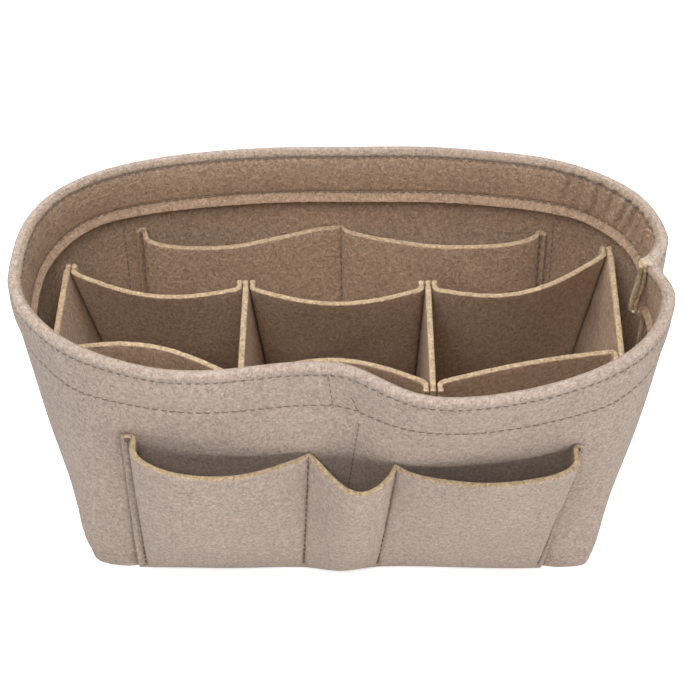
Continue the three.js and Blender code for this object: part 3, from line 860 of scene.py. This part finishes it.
def build_divider(name, foot_path, top_path, seed):
    """A divider panel, its flat size and what its stitches need."""
    length, foot_length = running_length(top_path)[-1], running_length(foot_path)[-1]
    spots = bordered(length, 1.3, marks=[DIVIDER_TAB, length - DIVIDER_TAB], fine=0.6, reach=3.0)
    foot, top = resample(foot_path, spots / length), resample(top_path, spots / length)
    floor, crest = FELT + SEWN_GAP, FELT + DIVIDER_HEIGHT
    up = bordered(crest - floor, 3.2)
    rise = up / (crest - floor)
    plan = foot[:, None] + (top - foot)[:, None] * rise[:, None]
    ends = from_ends(spots)
    z = floor + up + (fray(spots, seed) * smoothstep(ends, 0, 1.5))[:, None] * rise ** 8
    middle = np.concatenate([plan, np.broadcast_to(z, plan.shape[:2])[..., None]], -1)
    normal = level_normals(middle)
    free = smoothstep(ends, DIVIDER_TAB, DIVIDER_TAB + 14)[:, None] * np.sin(math.pi * np.clip(rise, 0, 1))
    sag = DIVIDER_SAG * ripple(np.stack(np.broadcast_arrays(spots[:, None], z), -1), seed + 3, 45)
    middle = middle + normal * (sag * free)[..., None]
    dip = groove(ends - 0.5 * DIVIDER_TAB, DIVIDER_GROOVE)[:, None] * pucker(z, PITCH, DIVIDER_PUCKER)
    # Both faces take the felt copy with painted shade
    looks = (INSIDE_SHADE_LOOK, INSIDE_SHADE_LOOK)
    made, front, back = felt_shell(name, middle, normal, spots, up, dip, dip, looks)
    tall = np.linalg.norm(np.diff(middle, axis=1), axis=-1).sum(1).max()
    return made, (max(length, foot_length), tall), (spots, length, front, back, normal)


def tab_rows(data, use_front):
    """The rows of stitches down the middles of a panel's two tabs, on one of its faces."""
    spots, length, front, back, normal = data
    face = front if use_front else back
    lift = normal if use_front else -normal
    rows = []
    for place in (0.5 * DIVIDER_TAB, length - 0.5 * DIVIDER_TAB):
        k = int(np.argmin(np.abs(spots - place)))
        rows.append(stitches(face[k, WITHIN_EDGES], lift[k, WITHIN_EDGES], inset=2.0))
    return rows


# Base


def build_base():
    """A floor whose edge is turned up inside the wall, as one closed shell."""
    count = 420
    angle = np.linspace(0, math.tau, count, endpoint=False) + math.tau / (2 * count)
    outside = FELT + SEWN_GAP
    inside = outside + FELT
    crest = BASE_TURN_UP - EDGE_ROUND
    fold = np.linspace(0, math.pi / 2, 7)
    across, out = edge_curve(np.linspace(0, math.pi, 11)[1:-1])
    corner = np.linspace(0, math.pi / 2, 5)[1:]
    inset, z, raw = section([  # from the fold below to the floor
        (outside + BASE_FOLD * (1 - np.sin(fold)), BASE_FOLD * (1 - np.cos(fold)), 0),
        (outside, np.linspace(BASE_FOLD + 1, crest, 5), 0),
        (outside + FELT / 2 - FELT / 2 * across, BASE_TURN_UP - EDGE_ROUND * (1 - out), 1),
        (inside, np.linspace(crest, FELT + BASE_CORNER + 0.2, 5), 0),
        (inside + BASE_CORNER * (1 - np.cos(corner)), FELT + BASE_CORNER * (1 - np.sin(corner)), 0),
    ])
    rings = from_wall(wall_frame(angle, z[:, None]), inset[:, None], z[:, None])
    shrink = np.linspace(1, 0, 16)[1:-1, None, None] * [1, 1, 0] + [0, 0, 1]
    floor = rings[-1] * shrink
    floor[..., 2] += 0.25 * ripple(floor[..., :2], 31, 40)
    rings = np.concatenate([rings[0] * shrink[::-1], rings, floor])
    raw = np.pad(raw, len(shrink))
    points = np.concatenate([rings.reshape(-1, 3), [[0, 0, 0], [0, 0, FELT]]])
    ids = np.arange(len(rings) * count).reshape(len(rings), count)
    after = np.roll(ids, -1, axis=1)
    quads = np.stack([ids[:-1], after[:-1], after[1:], ids[1:]], -1).reshape(-1, 4)
    low = np.stack([np.full(count, len(points) - 2), after[0], ids[0]], -1)
    high = np.stack([np.full(count, len(points) - 1), ids[-1], after[-1]], -1)
    fans = np.concatenate([low, high])
    slots = np.concatenate([np.repeat(raw[:-1] & raw[1:], count), np.zeros(len(fans), int)])
    # The base takes the felt copy with painted shade
    return make_object("base_felt", points, [quads, fans], [INSIDE_SHADE_LOOK, EDGE_LOOK], slots)


# End seam: the wall's two ends are turned in and lie one on the other, their cut ends towards the front


def build_seam_end(name, root, low_depth, hem_depth, reach, seed):
    """One turned-in end: it leaves the seam, turns and lies along the wall or, higher up, along the hem.
    The depths are of its middle, from the wall's outer face."""
    low, high = BASE_TURN_UP + 1.5, HEIGHT + 0.2
    up = bordered(high - low, 2.4)
    z = low + up
    paths = [rounded_path([[SEAM_END_START, root], [depth, root], [depth + 0.3, -reach]], 0.9)
             for depth in (low_depth, hem_depth)]
    length = running_length(paths[1])[-1]
    spots = bordered(length, 0.6)
    in_low, in_hem = (resample(path, spots / length) for path in paths)
    over = smoothstep(z, HEM_FOOT - 2.5, HEM_FOOT + 1)
    local = in_low[:, None] + (in_hem - in_low)[:, None] * over[:, None]
    away = SEAM_END_LEAN * over * smoothstep(z, HEIGHT, HEM_FOOT) * smoothstep(spots, 0, 4)[:, None]
    free = smoothstep(spots, 0.6 * length, length)[:, None]
    depth = local[..., 0] + away + free * (0.35 * ripple(z[:, None], seed, 24))
    ahead = -local[..., 1] + free * (0.5 * ripple(z[:, None], seed + 1, 15) + fray(z, seed + 2))
    middle = from_wall(wall_frame(SEAM_ANGLE, z), depth, z, ahead)
    middle[..., 2] += (0.7 * ripple(spots[:, None], seed + 3, 5))[:, None] * smoothstep(z, high - 3, high)
    plain = np.zeros(middle.shape[:2])
    # The back face takes the felt copy with painted shade
    looks = (EDGE_LOOK, INSIDE_SHADE_LOOK)
    made, _, _ = felt_shell(name, middle, level_normals(middle), spots, up, plain, plain, looks,
                            SEAM_END_HALF)
    return made


def build_knot(name, lumps):
    """Rough little lumps of frayed felt: depth from the outer face, way to the front, height, size."""
    around, down = 26, 16
    turn = np.arange(around) * math.tau / around
    tilt = np.linspace(0.06, math.pi - 0.06, down)
    ball = np.stack([np.sin(tilt) * np.cos(turn)[:, None], np.sin(tilt) * np.sin(turn)[:, None],
                     np.cos(tilt) + 0 * turn[:, None]], -1)
    ids = np.arange(around * down).reshape(around, down)
    after = np.roll(ids, -1, axis=0)
    skin = np.stack([ids[:, :-1], ids[:, 1:], after[:, 1:], after[:, :-1]], -1).reshape(-1, 4)
    caps = np.stack([ids[::-1, 0], ids[:, -1]])
    parts = []
    for k, (depth, ahead, z, size) in enumerate(lumps):
        centre = from_wall(wall_frame(SEAM_ANGLE, min(z, HEIGHT)), depth, z, ahead)
        rough = 1 + 0.22 * ripple(ball, 60 + k, 1.1) + 0.12 * ripple(ball, 80 + k, 0.4)
        parts.append(((centre + ball * rough[..., None] * np.array(size)).reshape(-1, 3), skin, caps))
    points, (quads, caps) = merged(parts)
    return make_object(name, points, [outwards(points, quads), caps], [FRAYED_LOOK])


# Making the object

wall = build_wall()
allowances = [
    build_knot("seam_knot", [
        (4.2, -2.2, HEIGHT - 0.4, (1.9, 1.6, 1.3)), (5.6, 0.2, HEIGHT - 0.8, (1.7, 1.7, 1.5)),
        (3.4, 0.9, HEIGHT - 0.2, (1.5, 1.4, 1.2)), (6.4, -2.0, HEIGHT - 1.4, (1.3, 1.5, 1.3)),
        (10.2, 3.3, HEM_FOOT + 1.2, (0.8, 0.7, 0.7)), (8.0, 3.1, HEM_FOOT + 0.8, (0.7, 0.6, 0.8))]),
    build_seam_end("seam_end_front", -0.6, FELT + 1.0, 2 * FELT + 0.5, 3.0, 41),
    build_seam_end("seam_end_back", 1.2, FELT + 2.8, 2 * FELT + 2.3, 3.2, 47),
]
for strip in allowances:
    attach(strip, "case")
base = build_base()
finish_felt(wall, "outer_wall", "case")
finish_felt(base, "base_panel", "case")

case_rows = {
    "thread_hem_outside": [ring_row(TOP_ROW, 0.0, 0, length=TOP_STITCH), ring_row(LOW_ROW, 0.0, 0)],
    "thread_hem_inside": [
        ring_row(TOP_ROW, 2 * FELT, 1, 5.0, length=TOP_STITCH), ring_row(LOW_ROW, 2 * FELT, 1, 7.0)],
    "thread_hem_tacks": [upright_row(*tack, 0.0, 0) for tack in HEM_TACKS],
    "thread_base": [ring_row(BASE_ROW, 0.0, 0, radius=BASE_THREAD)],
}
for k, (name, design) in enumerate(POCKETS.items()):
    piece, rows = build_pocket(f"{name}_felt", design, 100 + 10 * k)
    wide = design["rows"][-1] - design["rows"][0] + sum(design["flanges"])
    wide += sum(BELLY_LENGTH * b for b in design["bellies"])
    finish_felt(piece, name, "case")
    case_rows[f"thread_{name}"] = rows
    if design["outside"]:  # seen inside the wall
        case_rows[f"thread_{name}_through"] = [
            upright_row(design["side"], row, lean, design["foot"] + THROUGH_FOOT, top - 0.5, FELT, 2)
            for row, lean, top in zip(design["rows"], design["leans"], design["tops"])]
case_rows["thread_centre_row"] = [upright_row("front", *CENTRE_ROW, 0.0, 0)]
for name, rows in case_rows.items():
    thread_object(name, rows, "case", ROW_LOOKS.get(name, THREAD_LOOK))

feet, tops = junctions(0.0, **SPACES_BASE), junctions(FELT + DIVIDER_HEIGHT, **SPACES_TOP)
tab_rng = np.random.default_rng(17)
box_rows = []


def add_divider(node, paths, seed, stitched_front=None):
    """Makes a divider panel, with stitches on the front or the back of its tabs, or with none."""
    piece, flat, data = build_divider(f"{node}_felt", *paths, seed)
    finish_felt(piece, node, "divider_box")
    if stitched_front is not None:
        box_rows.extend(tab_rows(data, stitched_front))


for k, place in enumerate(("left", "middle", "right")):
    for side, name, outward, bows in ((0, "front", -1, FRONT_BOWS), (1, "back", 1, BACK_BOWS)):
        splay = tab_rng.uniform(-0.2, 0.7, 2)
        paths = [row_path(*feet[side][k:k + 2], outward, 0.0, 0.2 * splay),
                 row_path(*tops[side][k:k + 2], outward, bows[k], splay)]
        add_divider(f"divider_{name}_{place}", paths, 200 + 10 * k + side, side == 1)
for k, place in enumerate(("left_end", "cross_left", "cross_right", "right_end")):
    lean = tab_rng.uniform(-0.3, 0.3, 2)
    paths = [cross_path(feet[0][k], feet[1][k], 0 * lean), cross_path(tops[0][k], tops[1][k], lean)]
    add_divider(f"divider_{place}", paths, 300 + 10 * k, k > 0 if place.endswith("end") else None)
thread_object("thread_dividers", box_rows, "divider_box", THREAD_LOOK)

# Studio

WHITE = (1, 1, 1, 1)
WARM = (1, 0.99, 0.98)
LAMPS = (  # name, place, height that it is turned to, size, power, colour
    ("top_light", (0, 0, 1.3), 0, (1.1, 1.1), 13.8, (1, 0.985, 0.96)),
    ("front_light", (0.85, -1.1, 0.14), 0.08, (1.5, 0.24), 8.2, WARM),
    ("left_light", (-1.2, -0.6, 0.15), 0.08, (0.9, 0.4), 1.3, (0.94, 0.96, 1)),
    ("upper_left_light", (-0.8, 0.15, 0.95), 0.1, (0.5, 0.5), 2.4, (1, 1, 1)),
    ("right_light", (1.1, -0.3, 0.9), 0.08, (0.8, 0.6), 2.2, (1, 1, 1)),
    ("near_light", (-0.12, -0.46, 0.8), 0.1, (0.5, 0.4), 3.4, (1, 1, 1)),
    ("back_light", (0, 1.0, 1.1), 0.08, (1.0, 0.6), 4.5, WARM),
    ("low_back_light", (-0.1, 1.25, 0.2), 0.08, (1.5, 0.3), 5.5, WARM),
)


def seen_rays(tree):
    """1 for the rays that show the background: camera, glossy and transmission rays."""
    rays = add_node(tree, "LightPath", {}).node.outputs
    total = rays["Is Camera Ray"]
    for name in ("Is Glossy Ray", "Is Transmission Ray"):
        total = maths(tree, "MAXIMUM", total, rays[name])
    return total


def plain_floor():
    side, below = 3.0, -0.0004
    mesh = bpy.data.meshes.new("studio_floor")
    corners = ((-side, -side), (side, -side), (side, side), (-side, side))
    mesh.from_pydata([(x, y, below) for x, y in corners], [], [(0, 1, 2, 3)])
    made = link_object("studio_floor", mesh)
    material = bpy.data.materials.new("studio_white")
    tree = bare_tree(material)
    position = add_node(tree, "NewGeometry", {}, "Position")
    away = add_node(tree, "VectorMath", {0: position}, "Value", operation="LENGTH")
    white = remap(tree, away, 0.5, 1.6, 0.62, 1.0)  # the lamps don't reach far out
    strength = maths(tree, "MULTIPLY", seen_rays(tree), white)
    glow = add_node(tree, "Emission", {"Color": WHITE, "Strength": strength})
    diffuse = add_node(tree, "BsdfDiffuse", {"Color": (0.86, 0.86, 0.86, 1)})
    both = add_node(tree, "AddShader", {0: diffuse, 1: glow})
    add_node(tree, "OutputMaterial", {"Surface": both})
    mesh.materials.append(material)


def plain_world():
    world = bpy.data.worlds.new("studio")
    tree = bare_tree(world)
    shown = add_node(tree, "Background", {"Color": WHITE, "Strength": 1.0})
    light = add_node(tree, "Background", {"Color": (0.94, 0.96, 1.0, 1), "Strength": 0.05})
    sides = {0: seen_rays(tree), 1: light, 2: shown}
    either = add_node(tree, "MixShader", sides)
    add_node(tree, "OutputWorld", {"Surface": either})
    bpy.context.scene.world = world


def placed(made, right, above, back, place):
    """Turns an object so that its axes point right, up and back, and puts it in place."""
    rows = [(right[k], above[k], back[k], place[k]) for k in range(3)]
    made.matrix_world = Matrix(rows + [(0, 0, 0, 1)])


def soft_light(name, place, aim, size, power, colour):
    lamp = bpy.data.lights.new(name, "AREA")
    lamp.shape = "RECTANGLE"
    lamp.size, lamp.size_y = size
    lamp.energy = power
    lamp.color = colour
    ahead = unit(np.array([0.0, 0.0, aim]) - place)
    right = unit(np.cross(ahead, [0, 0, 1] if abs(ahead[2]) < 0.99 else [0, 1, 0]))
    placed(link_object(name, lamp), right, np.cross(right, ahead), -ahead, place)


def camera():
    """The photograph's view: a 46 degree look down at the front."""
    width_px, focal_px, sensor = 686, 1666.1, 36.0
    eye = (0.0064, -0.5035, 0.6137)
    right = (0.9999, 0.0013, -0.0107)
    above = (0.0065, 0.7194, 0.6946)
    back = (0.0086, -0.6946, 0.7193)
    data = bpy.data.cameras.new("photo_view")
    data.sensor_fit = "HORIZONTAL"
    data.sensor_width = sensor
    data.lens = focal_px * sensor / width_px
    data.clip_start, data.clip_end = 0.01, 20
    made = link_object("photo_view", data)
    placed(made, right, above, back, eye)
    bpy.context.scene.camera = made


plain_floor()
plain_world()
for name, *lamp in LAMPS:
    soft_light(name, *lamp)
camera()
bpy.context.scene.view_settings.view_transform = "Standard"
